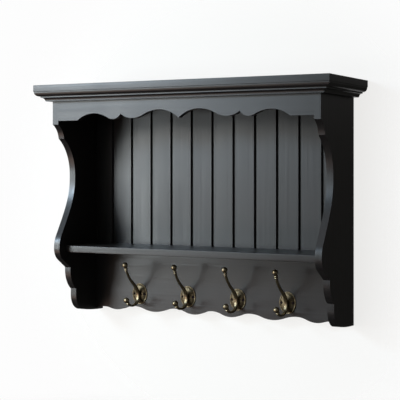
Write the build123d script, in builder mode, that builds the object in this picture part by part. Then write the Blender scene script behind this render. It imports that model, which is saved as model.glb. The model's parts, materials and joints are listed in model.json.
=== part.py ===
from build123d import *

import os
from math import ceil, cos, pi, sin

# A painted wooden wall shelf. Two scrolled sides hang under a moulded cornice, a tongued and grooved
# lining closes the back above one shelf, and a rail below the shelf carries four double hooks.
# Sizes are in millimetres. X runs to the right, Y into the wall and Z up. The origin is on the wall,
# midway between the two hanging screws, so everything lies on the -Y side of it.

# Carcass
width = 785.0              # over the outer faces of the sides
depth = 222.0              # wall to the front faces of the sides
board = 18.0               # thickness of the sides, top, shelf, frieze, rail and battens
top_height = 43.0          # top of the shelf above the line of the hanging screws
display_height = 418.5     # clear height between the shelf and the top board
shelf_setback = 33.5       # front of the shelf behind the front faces of the sides
arris = 1.2                # rounding on the edges that show
seam = 0.3                 # hairline left in the mitres and beside the lining

# Cornice
overhang = 38.0            # top board past the sides and the frieze
moulding_height = 25.0
moulding_inset = 1.4       # moulding behind the edge of the top board
moulding_lip = 0.8         # flat above the quarter round
round_radius = 11.3
fillet_inset = 1.3         # flat below the quarter round, behind it
fillet_height = 3.3
cove_inset = 0.9
cove_radius = 8.3
foot_inset = 1.2

# Outline of a side: distances behind its front face, and heights of its stations
shoulder_drop = 10.2       # straight front ends this far below the frieze
hollow_depth = 27.6
hollow_height = 37.6
hollow_sag = 5.8
sweep_depth = 80.6
sweep_rise = 97.9          # tip of the hollow to the top of the deepest stretch
sweep_flat = 8.5
waist_depth = 51.6
waist_rise = 97.8          # above the middle of the shelf, like the next three
neck_depth = 17.2
neck_rise = 40.5
bulge_depth = 5.8
bulge_rise = 2.0
first_turn_depth = 22.9     # where the first lobe's arc meets its straight
first_turn_drop = 29.6     # below the middle of the shelf, like the next seven
first_lobe_depth = 56.4
first_lobe_drop = 51.3
second_start_depth = 57.8
second_start_drop = 53.1
second_arc_drop = 60.2
second_lobe_depth = 82.4
second_lobe_drop = 112.1
third_start_depth = 85.6
third_start_drop = 113.6
third_arc_drop = 132.2
foot_depth = 122.0
foot_drop = 175.0
tail_drop = 182.9          # lowest point of the side, at the wall

# Frieze: places along its lower edge as shares of the way from the middle to a side, and heights above
# its flat ends
frieze_height = 77.8
point_rise = 1.1
inner_arch_place = 0.156
inner_arch_rise = 23.8
inner_lobe_place = 0.373
inner_lobe_rise = 2.9
notch_place = 0.467
notch_rise = 15.1
outer_lobe_place = 0.533
outer_lobe_rise = 1.4
outer_arch_place = 0.695
outer_arch_rise = 17.9
flat_place = 0.8315
inner_arch_share = 0.59    # share of the run from each arch to its lobe that the arch's own arc takes
outer_arch_share = 0.73

# Hook rail: highs and lows of its waved lower edge as shares of the way from the middle to a side
rail_height = 169.5
wave_height = 12.5
end_rise = 6.3
end_lift = 1.5
wave_lows = (0.149, 0.48, 0.814)
wave_highs = (0, 0.305, 0.6625, 0.9195)

# Back lining
lining = 15.0              # thickness of the lining boards
lining_pitch = 63.9
widest_end = 1.3           # widest board that is left at an end, in pitches
vee = 3.1                  # chamfer on each face edge of a lining board
lining_gap = 0.5           # shadow gap at the bottom of each vee
tongue_length = 5.0
tongue_width = 5.0
tongue_play = 0.3
tongue_set = 6.6           # tongue behind the face of the lining

# Battens and glue blocks
hanging_batten_height = 75.0
lower_batten_height = 70.0
glue_block = 20.0
glue_block_length = 60.0
glue_block_pitch = 190.0
glue_block_count = 4

# Dowels, pins and brads
dowel_radius = 4.0
dowel_length = 28.0
dowel_seat = 12.0          # part of each dowel that enters a side or the top board
dowel_play = 0.5           # spare depth at both ends of its hole
dowel_pitch = 44.0
shelf_dowel_pitch = 52.0
top_dowel_pitch = 75.0
pin_radius = 0.9
pin_length = 28.0
pin_head_radius = 1.7
pin_head = 0.8
pin_margin = 8.0           # pins from the edge of the batten that they are driven through
brad_radius = 0.7
brad_length = 22.0
brad_seat = 13.0           # part of each brad that enters the frieze or a side
brad_drop = 21.0
brad_pitch = 150.0
front_brads = 5
return_brads = 2

# Wall hangers
hanger_block_length = 114.0  # block between a side and the batten, with its hanger in the middle
hanger_width = 20.0
hanger_height = 48.0
hanger_corner = 4.0
hanger_thickness = 2.0
hanger_play = 0.2
entry_radius = 5.0
slot_radius = 2.5
slot_length = 9.0
pocket_margin = 1.5        # pocket wider than the entry hole
pocket_depth = 9.0         # cut behind the plate for the head of the wall screw
hanger_hole_pitch = 36.0
hanger_screw_radius = 1.75
hanger_screw_head = 3.4
hanger_screw_sink = 1.6
hanger_screw_length = 14.0

# Hooks: an arm is given by its reach from the rail and its height from the middle of its plate
first_hook = -227.5
second_hook = -73.5
third_hook = 78.5
fourth_hook = 223.5
hook_drop = 121.5          # middle of each plate below the underside of the shelf
plate_width = 46.5
plate_height = 58.5
plate_thickness = 1.6
plate_rise = 5.8           # top of the dome in front of the rail
dome_slope = 0.6           # radians by which the foot of the dome leans in
bead_width = 2.8
bead_rise = 0.9
bead_round = 0.6
land_radius = 6.5          # flat on top of the dome, across the plate
screw_spacing = 34.4
screw_seat = 2.6           # flat under each screw's head, in front of the rail
seat_radius = 4.1
hole_play = 0.15
upper_reach = 79.6         # middle of the upper ball
upper_height = 85.8
lower_reach = 72.4         # middle of the lower ball
lower_drop = 11.0
root_reach = 10.8          # middle of the arm where it passes its plate
root_drop = 4.0
arm_sag = 28.6             # lowest part of the arm's middle line below the middle of its plate
ball_radius = 7.8
neck_width = 6.8           # arm at the balls
neck_thickness = 5.8
root_width = 10.4
root_thickness = 6.6
arm_round = 0.42           # rounding of the arm's edges as a share of its thickness
ring_radius = 3.7
ring_wire = 1.4
upper_rings = (10.9, 15.8)  # rings behind the middle of the upper ball
lower_rings = (11.6,)
boss_radius = 4.6
tenon_radius = 3.0
screw_radius = 1.9
screw_head = 3.4
screw_edge = 0.8
screw_dome = 1.8
screw_length = 16.0
screw_slot_width = 0.9
screw_slot_depth = 1.1

# Places worked out from the sizes above
half_width = width / 2
half_span = half_width - board
front = -depth
under_top = top_height - board
shelf_top = under_top - display_height
shelf_middle = shelf_top - board / 2
shelf_under = shelf_top - board
shelf_front = front + shelf_setback
lining_back = -board
lining_face = lining_back - lining
rail_face = lining_back - board
rail_low = shelf_under - rail_height
rail_high = rail_low + wave_height
rail_end = rail_low + end_lift
frieze_low = under_top - frieze_height
frieze_back = front + board
shoulder = frieze_low - shoulder_drop
hollow_tip = shoulder - hollow_height
moulding_reach = overhang - moulding_inset
hook_height = shelf_under - hook_drop
hook_places = (first_hook, second_hook, third_hook, fourth_hook)
hands = {"left": -1, "right": 1}

os.makedirs("parts", exist_ok=True)


def save(part, name):
    """Labels a finished piece and writes it under its own name."""
    part.label = name
    export_step(part, f"parts/{name}.step")


def spread(count, pitch):
    """Evenly spaced places about the middle."""
    return [(i - (count - 1) / 2) * pitch for i in range(count)]


# Dowels: across each side into what meets it, and down from the top board into the sides

shelf_dowels = [((shelf_front + lining_face) / 2 + y, shelf_middle) for y in spread(3, shelf_dowel_pitch)]
frieze_dowels = [(front + board / 2, under_top - frieze_height / 2 + z) for z in spread(2, dowel_pitch)]
rail_dowels = [(rail_face + board / 2, shelf_under - rail_height / 2 + z) for z in spread(3, dowel_pitch)]
hanging_dowels = [(-board / 2, under_top - hanging_batten_height / 2 + z) for z in spread(2, dowel_pitch)]
lower_dowels = [(-board / 2, shelf_middle + z) for z in spread(2, dowel_pitch)]
side_dowels = shelf_dowels + frieze_dowels + rail_dowels + hanging_dowels + lower_dowels
top_dowels = [front / 2 + y for y in spread(3, top_dowel_pitch)]

for name, spare in (("dowels", 0), ("bores", dowel_play)):
    with BuildPart() as dowel_set:
        for hand in hands.values():
            with BuildSketch(Plane.YZ.offset(hand * (half_span + dowel_seat + spare))):
                with Locations(*side_dowels):
                    Circle(dowel_radius)
            extrude(amount=-hand * (dowel_length + 2 * spare))
            with BuildSketch(Plane.XY.offset(under_top + dowel_seat + spare)):
                with Locations(*[(hand * (half_width - board / 2), y) for y in top_dowels]):
                    Circle(dowel_radius)
            extrude(amount=-dowel_length - 2 * spare)
    if spare:
        dowel_bores = dowel_set.part
    else:
        save(dowel_set.part, "carcass_dowels")

# Brads that pin the cornice moulding, driven below its surface and filled over

with BuildPart() as cornice_brads:
    with BuildSketch(Plane.XZ.offset(-front - brad_seat)):
        with Locations(*[(x, under_top - brad_drop) for x in spread(front_brads, brad_pitch)]):
            Circle(brad_radius)
    extrude(amount=brad_length)
    for hand in hands.values():
        with BuildSketch(Plane.YZ.offset(hand * (half_width - brad_seat))):
            places = [front / 2 + y for y in spread(return_brads, brad_pitch)]
            with Locations(*[(y, under_top - brad_drop) for y in places]):
                Circle(brad_radius)
        extrude(amount=hand * brad_length)
save(cornice_brads.part, "cornice_brads")


# Sides


def side_outline():
    """Scrolled front edge of a side, drawn from its top corner down to the wall and back up."""
    start = (front, under_top)
    corner = (front, shoulder)
    tip = (front + hollow_depth, hollow_tip)
    sweep_start = (front + sweep_depth, hollow_tip - sweep_rise)
    sweep_end = (front + sweep_depth, hollow_tip - sweep_rise - sweep_flat)
    waist = (front + waist_depth, shelf_middle + waist_rise)
    neck = (front + neck_depth, shelf_middle + neck_rise)
    bulge = (front + bulge_depth, shelf_middle + bulge_rise)
    first_turn = (front + first_turn_depth, shelf_middle - first_turn_drop)
    first_end = (front + first_lobe_depth, shelf_middle - first_lobe_drop)
    second_start = (front + second_start_depth, shelf_middle - second_start_drop)
    second_arc = (front + second_start_depth, shelf_middle - second_arc_drop)
    second_end = (front + second_lobe_depth, shelf_middle - second_lobe_drop)
    third_start = (front + third_start_depth, shelf_middle - third_start_drop)
    third_arc = (front + third_start_depth, shelf_middle - third_arc_drop)
    foot = (front + foot_depth, shelf_middle - foot_drop)
    tail = (0, shelf_middle - tail_drop)
    down = (0, -1)
    up = (0, 1)
    Line(start, corner)
    SagittaArc(corner, tip, hollow_sag)
    TangentArc(sweep_start, tip, tangent=up)
    Line(sweep_start, sweep_end)
    Spline(sweep_end, waist, neck, bulge, tangents=(down, down))
    TangentArc(bulge, first_turn, tangent=down)
    Polyline(first_turn, first_end, second_start, second_arc)
    TangentArc(second_arc, second_end, tangent=down)
    Polyline(second_end, third_start, third_arc)
    TangentArc(third_arc, foot, tangent=down)
    TangentArc(tail, foot, tangent=(-1, 0))
    Polyline(tail, (0, under_top), start)


for name, hand in hands.items():
    with BuildPart() as side:
        with BuildSketch(Plane.YZ.offset(hand * half_span)):
            with BuildLine():
                side_outline()
            make_face()
        extrude(amount=hand * board)
        add(dowel_bores, mode=Mode.SUBTRACT)
        add(cornice_brads.part, mode=Mode.SUBTRACT)
    save(side.part, f"{name}_side")

# Top board

with BuildPart() as top_board:
    with BuildSketch(Plane.XY.offset(under_top)):
        with Locations((0, (front - overhang) / 2)):
            Rectangle(width + 2 * overhang, depth + overhang)
    extrude(amount=board)
    shown = top_board.faces().sort_by(Axis.Y)[0].edges() + top_board.edges().filter_by(Axis.Y)
    fillet(shown, arris)
    add(dowel_bores, mode=Mode.SUBTRACT)
save(top_board.part, "top_board")

# Cornice moulding: one section along the front and back along both sides, mitred at the corners


def moulding_section():
    """Section of the moulding: reach from the carcass and height from the top board's underside."""
    step = moulding_reach - round_radius - fillet_inset
    cove_reach = step - cove_inset
    round_end = -moulding_lip - round_radius
    cove_top = round_end - fillet_height
    cove_end = cove_top - cove_radius
    foot = cove_reach - cove_radius - foot_inset
    Polyline((0, 0), (moulding_reach, 0), (moulding_reach, -moulding_lip))
    RadiusArc((moulding_reach, -moulding_lip), (moulding_reach - round_radius, round_end), round_radius)
    Polyline((moulding_reach - round_radius, round_end), (step, round_end), (step, cove_top))
    Line((step, cove_top), (cove_reach, cove_top))
    RadiusArc((cove_reach, cove_top), (cove_reach - cove_radius, cove_end), -cove_radius)
    Polyline((cove_reach - cove_radius, cove_end), (foot, cove_end), (foot, -moulding_height))
    Polyline((foot, -moulding_height), (0, -moulding_height), (0, 0))


def mitre(hand, kept):
    """Plane of the mitre at one front corner, half a seam inside the piece that it cuts."""
    normal = Vector(*kept).normalized()
    return Plane(origin=Vector(hand * half_width, front, under_top) + normal * seam / 2, z_dir=normal)


with BuildPart() as cornice_front:
    with BuildSketch(Plane(origin=(width, front, under_top), x_dir=(0, -1, 0), z_dir=(-1, 0, 0))):
        with BuildLine():
            moulding_section()
        make_face()
    extrude(amount=2 * width)
    for hand in hands.values():
        split(bisect_by=mitre(hand, (-hand, -1)), keep=Keep.TOP)
    add(cornice_brads.part, mode=Mode.SUBTRACT)
save(cornice_front.part, "cornice_front")

for name, hand in hands.items():
    with BuildPart() as cornice_return:
        corner = (hand * half_width, 0, under_top)
        with BuildSketch(Plane(origin=corner, x_dir=(hand, 0, 0), z_dir=(0, -hand, 0))):
            with BuildLine():
                moulding_section()
            make_face()
        extrude(amount=hand * 2 * depth)
        split(bisect_by=mitre(hand, (hand, 1)), keep=Keep.TOP)
        add(cornice_brads.part, mode=Mode.SUBTRACT)
    save(cornice_return.part, f"cornice_{name}_return")

# Frieze


def ogee(start, end, share=0.5):
    """Two arcs, level at both ends, that meet at the given share of the run from start to end."""
    meeting = (start[0] + (end[0] - start[0]) * share, start[1] + (end[1] - start[1]) * share)
    TangentArc(start, meeting, tangent=(1, 0))
    TangentArc(end, meeting, tangent=(-1, 0))


def frieze_edge():
    """Right half of the frieze's lower edge, from its middle point to its flat end."""
    point = (0, frieze_low + point_rise)
    inner_arch = (inner_arch_place * half_span, frieze_low + inner_arch_rise)
    inner_lobe = (inner_lobe_place * half_span, frieze_low + inner_lobe_rise)
    notch = (notch_place * half_span, frieze_low + notch_rise)
    outer_lobe = (outer_lobe_place * half_span, frieze_low + outer_lobe_rise)
    outer_arch = (outer_arch_place * half_span, frieze_low + outer_arch_rise)
    flat = (flat_place * half_span, frieze_low)
    TangentArc(inner_arch, point, tangent=(-1, 0))
    ogee(inner_arch, inner_lobe, inner_arch_share)
    TangentArc(inner_lobe, notch, tangent=(1, 0))
    TangentArc(outer_lobe, notch, tangent=(-1, 0))
    ogee(outer_lobe, outer_arch, 1 - outer_arch_share)
    TangentArc(outer_arch, flat, tangent=(1, 0))
    Polyline(flat, (half_span, frieze_low), (half_span, under_top), (0, under_top))


with BuildPart() as frieze:
    with BuildSketch(Plane.XZ.offset(-frieze_back)):
        with BuildLine():
            frieze_edge()
            mirror(about=Plane.YZ)
        make_face()
    extrude(amount=board)
    add(dowel_bores, mode=Mode.SUBTRACT)
    add(cornice_brads.part, mode=Mode.SUBTRACT)
save(frieze.part, "frieze")

for number, place in enumerate(spread(glue_block_count, glue_block_pitch), 1):
    with BuildPart() as block:
        with BuildSketch(Plane.YZ.offset(place - glue_block_length / 2)):
            with BuildLine():
                Polyline(
                    (frieze_back, under_top),
                    (frieze_back + glue_block, under_top),
                    (frieze_back, under_top - glue_block),
                    close=True,
                )
            make_face()
        extrude(amount=glue_block_length)
    save(block.part, f"glue_block_{number}")

# Shelf, glued against the lining

with BuildPart() as shelf_board:
    with BuildSketch(Plane.XY.offset(shelf_under)):
        with Locations((0, (shelf_front + lining_face) / 2)):
            Rectangle(2 * half_span, lining_face - shelf_front)
    extrude(amount=board)
    fillet(shelf_board.faces().sort_by(Axis.Y)[0].edges().filter_by(Axis.X), arris)
    add(dowel_bores, mode=Mode.SUBTRACT)
save(shelf_board.part, "shelf_board")

# Back lining: tongued and grooved boards that stand on the hook rail, set out from a joint in the middle

full_boards = ceil(half_span / lining_pitch - widest_end)
inner_joints = [i * lining_pitch for i in range(-full_boards, full_boards + 1)]
joints = [-half_span + seam] + inner_joints + [half_span - seam]
board_runs = list(zip(joints, joints[1:]))
pin_places = [(left + right) / 2 for left, right in board_runs]
pin_rows = {
    "upper": under_top - hanging_batten_height + pin_margin,
    "lower": shelf_middle + lower_batten_height / 2 - pin_margin,
}


def lining_section(left, right, has_groove, has_tongue):
    """Plan of one board between two joints, with its face at the front."""
    tongue_front = lining_face + tongue_set
    tongue_back = tongue_front + tongue_width
    start = left + lining_gap / 2 * has_groove
    end = right - lining_gap / 2 * has_tongue
    tip = end + tongue_length
    bottom = start + tongue_length + tongue_play
    outline = [(start + vee * has_groove, lining_face), (end - vee * has_tongue, lining_face)]
    if has_tongue:
        outline += [(end, lining_face + vee), (end, tongue_front), (tip, tongue_front)]
        outline += [(tip, tongue_back), (end, tongue_back)]
    outline += [(end, lining_back), (start, lining_back)]
    if has_groove:
        outline += [(start, tongue_back + tongue_play), (bottom, tongue_back + tongue_play)]
        outline += [(bottom, tongue_front - tongue_play), (start, tongue_front - tongue_play)]
        outline += [(start, lining_face + vee)]
    Polyline(*outline, close=True)


for row, height in pin_rows.items():
    with BuildPart() as pins:
        with BuildSketch(Plane.XZ):
            with Locations(*[(x, height) for x in pin_places]):
                Circle(pin_radius)
        extrude(amount=pin_length)
        with BuildSketch(Plane.XZ):
            with Locations(*[(x, height) for x in pin_places]):
                Circle(pin_head_radius)
        extrude(amount=pin_head)
    save(pins.part, f"lining_pins_{row}")
    pin_rows[row] = pins.part

for number, (left, right) in enumerate(board_runs, 1):
    with BuildPart() as lining_board:
        with BuildSketch(Plane.XY.offset(shelf_under)):
            with BuildLine():
                lining_section(left, right, number > 1, number < len(board_runs))
            make_face()
        extrude(amount=under_top - shelf_under)
        add(pin_rows.values(), mode=Mode.SUBTRACT)
    save(lining_board.part, f"back_board_{number:02d}")

# Wall hangers: keyhole plates let into a block at each end of the hanging batten, whose slots seat the
# wall screws at z = 0

hanger_middle = -slot_length / 2
hanger_places = [hand * (half_span - hanger_block_length / 2) for hand in hands.values()]
hanger_holes = [(0, hanger_middle + z) for z in spread(2, hanger_hole_pitch)]
recess_width = hanger_width + 2 * hanger_play
recess_height = hanger_height + 2 * hanger_play

with BuildPart() as hanger_pattern:
    with BuildSketch(Plane.XZ):
        with Locations((0, hanger_middle)):
            RectangleRounded(hanger_width, hanger_height, hanger_corner)
        with Locations((0, -slot_length)):
            Circle(entry_radius, mode=Mode.SUBTRACT)
        with Locations((0, hanger_middle)):
            SlotCenterToCenter(slot_length, 2 * slot_radius, rotation=90, mode=Mode.SUBTRACT)
    extrude(amount=hanger_thickness)

with BuildPart() as hanger_screw_pattern:
    with BuildSketch(Plane.XY):
        with BuildLine():
            Polyline(
                (0, 0),
                (hanger_screw_head, 0),
                (hanger_screw_radius, -hanger_screw_sink),
                (hanger_screw_radius, 2 * hanger_screw_radius - hanger_screw_length),
                (0, -hanger_screw_length),
                (0, 0),
            )
        make_face()
    revolve(axis=Axis.Y)

with BuildPart() as hanging_batten:
    with BuildSketch(Plane.XZ):
        with Locations((0, under_top - hanging_batten_height / 2)):
            Rectangle(2 * (half_span - hanger_block_length), hanging_batten_height)
    extrude(amount=board)
    add(pin_rows.values(), mode=Mode.SUBTRACT)
save(hanging_batten.part, "hanging_batten")

for name, place in zip(hands, hanger_places):
    with BuildPart() as hanger_block:
        with BuildSketch(Plane.XZ):
            with Locations((place, under_top - hanging_batten_height / 2)):
                Rectangle(hanger_block_length, hanging_batten_height)
        extrude(amount=board)
        with BuildSketch(Plane.XZ):
            with Locations((place, hanger_middle)):
                RectangleRounded(recess_width, recess_height, hanger_corner + hanger_play)
        extrude(amount=hanger_thickness, mode=Mode.SUBTRACT)
        with BuildSketch(Plane.XZ):
            with Locations((place, hanger_middle)):
                SlotCenterToCenter(slot_length, 2 * (entry_radius + pocket_margin), rotation=90)
        extrude(amount=pocket_depth, mode=Mode.SUBTRACT)
        add(dowel_bores, mode=Mode.SUBTRACT)
        add(pin_rows.values(), mode=Mode.SUBTRACT)
        with Locations(*[(place + x, 0, z) for x, z in hanger_holes]):
            add(hanger_screw_pattern.part, mode=Mode.SUBTRACT)
    save(hanger_block.part, f"{name}_hanger_block")
    with BuildPart() as hanger:
        with Locations((place, 0, 0)):
            add(hanger_pattern.part)
        with Locations(*[(place + x, 0, z) for x, z in hanger_holes]):
            add(hanger_screw_pattern.part, mode=Mode.SUBTRACT)
    save(hanger.part, f"{name}_hanger_plate")
    for level, (x, z) in zip(("lower", "upper"), hanger_holes):
        with BuildPart() as hanger_screw:
            with Locations((place + x, 0, z)):
                add(hanger_screw_pattern.part)
        save(hanger_screw.part, f"{name}_hanger_screw_{level}")

# Lower batten, behind the foot of the lining, the shelf and the top of the rail

with BuildPart() as lower_batten:
    with BuildSketch(Plane.XZ):
        with Locations((0, shelf_middle)):
            Rectangle(2 * half_span, lower_batten_height)
    extrude(amount=board)
    add(dowel_bores, mode=Mode.SUBTRACT)
    add(pin_rows.values(), mode=Mode.SUBTRACT)
save(lower_batten.part, "lower_batten")

# Hook parts, each drawn once with the middle of its plate on the rail's face at the origin

screw_places = spread(2, screw_spacing)

with BuildPart() as plate_pattern:
    with BuildSketch(Plane.XZ):
        Ellipse(plate_width / 2, plate_height / 2)
    extrude(amount=plate_thickness)
    with BuildSketch(Plane.XZ.offset(plate_thickness)):
        Ellipse(plate_width / 2, plate_height / 2)
        Ellipse(plate_width / 2 - bead_width, plate_height / 2 - bead_width, mode=Mode.SUBTRACT)
    extrude(amount=bead_rise)
    fillet(plate_pattern.faces().sort_by(Axis.Y)[0].edges(), bead_round)
    for step in range(6):
        lean = dome_slope + (pi / 2 - dome_slope) * step / 5
        inset = (plate_width / 2 - bead_width - land_radius) * (1 - cos(lean) / cos(dome_slope))
        rise = (plate_rise - plate_thickness) * (sin(lean) - sin(dome_slope)) / (1 - sin(dome_slope))
        with BuildSketch(Plane.XZ.offset(plate_thickness + rise)):
            Ellipse(plate_width / 2 - bead_width - inset, plate_height / 2 - bead_width - inset)
    loft()
    with BuildSketch(Plane.XZ.offset(screw_seat)):
        with Locations(*[(x, 0) for x in screw_places]):
            Circle(seat_radius)
    extrude(amount=plate_rise, mode=Mode.SUBTRACT)
    with BuildSketch(Plane.XZ):
        with Locations(*[(x, 0) for x in screw_places]):
            Circle(screw_radius + hole_play)
    extrude(amount=plate_rise, mode=Mode.SUBTRACT)
    with BuildSketch(Plane.XZ):
        with Locations((0, -root_drop)):
            Circle(tenon_radius + hole_play)
    extrude(amount=plate_rise, mode=Mode.SUBTRACT)

# Middle line of an arm from the upper ball, down past the plate and out to the lower ball. Its bends are
# shares of the reach and height of the ball that they lead to.

upper_bends = [(0.87, 0.757), (0.741, 0.594), (0.534, 0.425), (0.302, 0.256), (0.17, 0.09)]
lower_bends = [(0.172, 0.5), (0.262, 0.8), (0.428, 0.975), (0.608, 1.0), (0.773, 0.893), (0.884, 0.679)]

with BuildLine(Plane(origin=(0, 0, 0), x_dir=(0, -1, 0), z_dir=(-1, 0, 0))) as arm_route:
    Spline(
        (upper_reach, upper_height),
        *[(out * upper_reach, up * upper_height) for out, up in upper_bends],
        (root_reach, -root_drop),
        *[(out * lower_reach, -down * arm_sag) for out, down in lower_bends],
        (lower_reach, -lower_drop),
    )

sections = 24
swell_middle = 0.58        # share of the arm's length at which it is widest
swell_reach = 0.5          # share of the length over which it narrows to the neck

with BuildPart() as arm_pattern:
    for step in range(sections + 1):
        share = step / sections
        nearness = max(0, 1 - abs(share - swell_middle) / swell_reach)
        swell = sin(nearness * pi / 2) ** 2
        middle = arm_route.wire().position_at(share)
        along = arm_route.wire().tangent_at(share)
        with BuildSketch(Plane(origin=middle, x_dir=(1, 0, 0), z_dir=along)):
            thickness = neck_thickness + (root_thickness - neck_thickness) * swell
            RectangleRounded(neck_width + (root_width - neck_width) * swell, thickness, arm_round * thickness)
    loft()
    for share, ring_places in ((0, upper_rings), (1, lower_rings)):
        ball = arm_route.wire().position_at(share)
        with Locations(ball):
            Sphere(ball_radius)
        for distance in ring_places:
            place = abs(share - distance / arm_route.wire().length)
            ring = Plane(origin=arm_route.wire().position_at(place), z_dir=arm_route.wire().tangent_at(place))
            with Locations(ring):
                Torus(ring_radius, ring_wire)
    with BuildSketch(Plane.XZ.offset(plate_rise)):
        with Locations((0, -root_drop)):
            Circle(boss_radius)
    extrude(amount=root_reach - plate_rise)
    with BuildSketch(Plane.XZ.offset(hole_play)):
        with Locations((0, -root_drop)):
            Circle(tenon_radius)
    extrude(amount=root_reach - hole_play)

screw_crown = -screw_seat - screw_edge - screw_dome

with BuildPart() as screw_pattern:
    with BuildSketch(Plane.XY):
        with BuildLine():
            Polyline(
                (0, screw_crown),
                (0, screw_length - screw_seat),
                (screw_radius, screw_length - screw_seat - 2 * screw_radius),
                (screw_radius, -screw_seat),
                (screw_head, -screw_seat),
                (screw_head, -screw_seat - screw_edge),
            )
            TangentArc((0, screw_crown), (screw_head, -screw_seat - screw_edge), tangent=(1, 0))
        make_face()
    revolve(axis=Axis.Y)
    with Locations((0, screw_crown, 0)):
        Box(2 * screw_head, 2 * screw_slot_depth, screw_slot_width, mode=Mode.SUBTRACT)

with BuildPart() as screw_bore:
    with BuildSketch(Plane.XZ):
        Circle(screw_radius)
    extrude(amount=screw_seat - screw_length)

# Hook rail, with its waved lower edge and the hooks on its face


def rail_edge():
    """Right half of the rail's waved lower edge, from the middle to the side."""
    lows = [(place * half_span, rail_low) for place in wave_lows]
    highs = [(place * half_span, rail_high) for place in wave_highs[:-1]]
    highs.append((wave_highs[-1] * half_span, rail_low + end_rise))
    for high, low, following in zip(highs, lows, highs[1:]):
        ogee(high, low)
        ogee(low, following)
    TangentArc(highs[-1], (half_span, rail_end), tangent=(1, 0))
    Polyline((half_span, rail_end), (half_span, shelf_under), (0, shelf_under))


with BuildPart() as hook_rail:
    with BuildSketch(Plane.XZ.offset(-lining_back)):
        with BuildLine():
            rail_edge()
            mirror(about=Plane.YZ)
        make_face()
    extrude(amount=board)
    add(dowel_bores, mode=Mode.SUBTRACT)
    for place in hook_places:
        with Locations(*[(place + x, rail_face, hook_height) for x in screw_places]):
            add(screw_bore.part, mode=Mode.SUBTRACT)
save(hook_rail.part, "hook_rail")

for number, place in enumerate(hook_places, 1):
    for name, pattern in (("backplate", plate_pattern), ("arm", arm_pattern)):
        with BuildPart() as hook_part:
            with Locations((place, rail_face, hook_height)):
                add(pattern.part)
        save(hook_part.part, f"hook_{number}_{name}")
    for name, x in zip(hands, screw_places):
        turn = 37 * number + 61 * (x > 0)
        with BuildPart() as hook_screw:
            with Locations(Location((place + x, rail_face, hook_height), (0, turn, 0))):
                add(screw_pattern.part)
        save(hook_screw.part, f"hook_{number}_screw_{name}")
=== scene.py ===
# %% [markdown]
# This lesson dresses a black painted wall shelf: two scrolled sides, a moulded cornice, a boarded back and
# a rail with four double coat hooks in antique brass. The sizes come from a finished CAD model, which is
# loaded first and never moved. Every step then adds a finish, or a finer piece in place of a plain one.

import bmesh
import bpy
import json
from math import pi, radians
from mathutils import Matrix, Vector


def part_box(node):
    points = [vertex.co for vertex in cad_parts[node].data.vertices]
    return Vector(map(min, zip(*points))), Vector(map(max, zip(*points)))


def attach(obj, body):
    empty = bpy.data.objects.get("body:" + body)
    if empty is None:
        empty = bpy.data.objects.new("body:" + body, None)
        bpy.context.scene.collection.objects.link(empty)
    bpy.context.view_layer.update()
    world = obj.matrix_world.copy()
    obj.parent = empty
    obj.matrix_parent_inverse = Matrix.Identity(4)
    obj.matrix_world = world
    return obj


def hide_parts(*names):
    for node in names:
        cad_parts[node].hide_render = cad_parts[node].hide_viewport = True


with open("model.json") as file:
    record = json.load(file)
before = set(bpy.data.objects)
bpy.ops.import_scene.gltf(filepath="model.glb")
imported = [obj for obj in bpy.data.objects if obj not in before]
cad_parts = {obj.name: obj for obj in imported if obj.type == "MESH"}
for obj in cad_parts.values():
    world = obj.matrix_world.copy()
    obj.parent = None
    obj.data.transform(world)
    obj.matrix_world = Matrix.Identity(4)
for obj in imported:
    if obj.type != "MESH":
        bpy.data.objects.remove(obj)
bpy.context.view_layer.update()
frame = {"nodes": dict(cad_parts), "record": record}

# %% [markdown]
# Sizes of the shelf are written in millimetres, as a joiner would, while Blender works in metres. One short
# function turns one into the other. Only the studio around the shelf is given in metres. A second function
# turns a colour picked as an sRGB hex value into the linear numbers that a shader needs, because a hex value
# that is typed in raw would render far too pale.

# %% Millimetres and colours
def mm(size):
    return size / 1000


def hex_colour(code):
    linear = []
    for place in (0, 2, 4):
        value = int(code[place:place + 2], 16) / 255
        linear.append(value / 12.92 if value <= 0.04045 else ((value + 0.055) / 1.055) ** 2.4)
    return (*linear, 1.0)


print("18 mm is", mm(18), "m, and mid grey is", [round(value, 4) for value in hex_colour("808080")])

# %% [markdown]
# A material is a tree of nodes. The first helper adds one node, sets its options and values, and links what
# is passed as a socket, so each recipe below reads from top to bottom as a list of steps. The other two start
# a material with an empty tree, and lead its last shader to the output.

# %% Helpers for the materials
def add_node(tree, kind, inputs=None, **options):
    node = tree.nodes.new(kind)
    for name, value in options.items():
        setattr(node, name, value)
    for name, value in (inputs or {}).items():
        socket = node.inputs[name]
        if isinstance(value, bpy.types.NodeSocket):
            tree.links.new(value, socket)
        else:
            socket.default_value = value
    return node


def new_finish(name):
    material = bpy.data.materials.new(name)
    material.use_nodes = True
    material.node_tree.nodes.clear()
    return material, material.node_tree


def use_surface(tree, shader):
    output = tree.nodes.new("ShaderNodeOutputMaterial")
    tree.links.new(shader.outputs[0], output.inputs["Surface"])


# %% [markdown]
# The shelf is softwood under black satin oil paint, laid on with a brush along each board. Such paint has
# four things that the eye finds: a base that is nearly but not quite black, with a warm cast, a soft sheen
# that breaks up where the coat is thicker or thinner, shallow brush lines along the board, and the late wood
# of the softwood, which stands a little proud and shows through the coat as streaks. Both lines and streaks
# come from noise that is stretched along the grain, so one function draws them.

# %% Noise drawn out along the grain
def stretched_noise(tree, place, grain, spacing, length, detail):
    """Noise drawn out along the axis named by grain, with its streaks spacing mm apart and length mm long."""
    stretch = [1 / mm(length) if axis == grain else 1 / mm(spacing) for axis in "XYZ"]
    drawn_out = add_node(tree, "ShaderNodeMapping", {"Vector": place, "Scale": stretch})
    return add_node(tree, "ShaderNodeTexNoise", {
        "Vector": drawn_out.outputs[0], "Scale": 1.0, "Detail": detail, "Roughness": 0.6}).outputs["Fac"]


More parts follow.
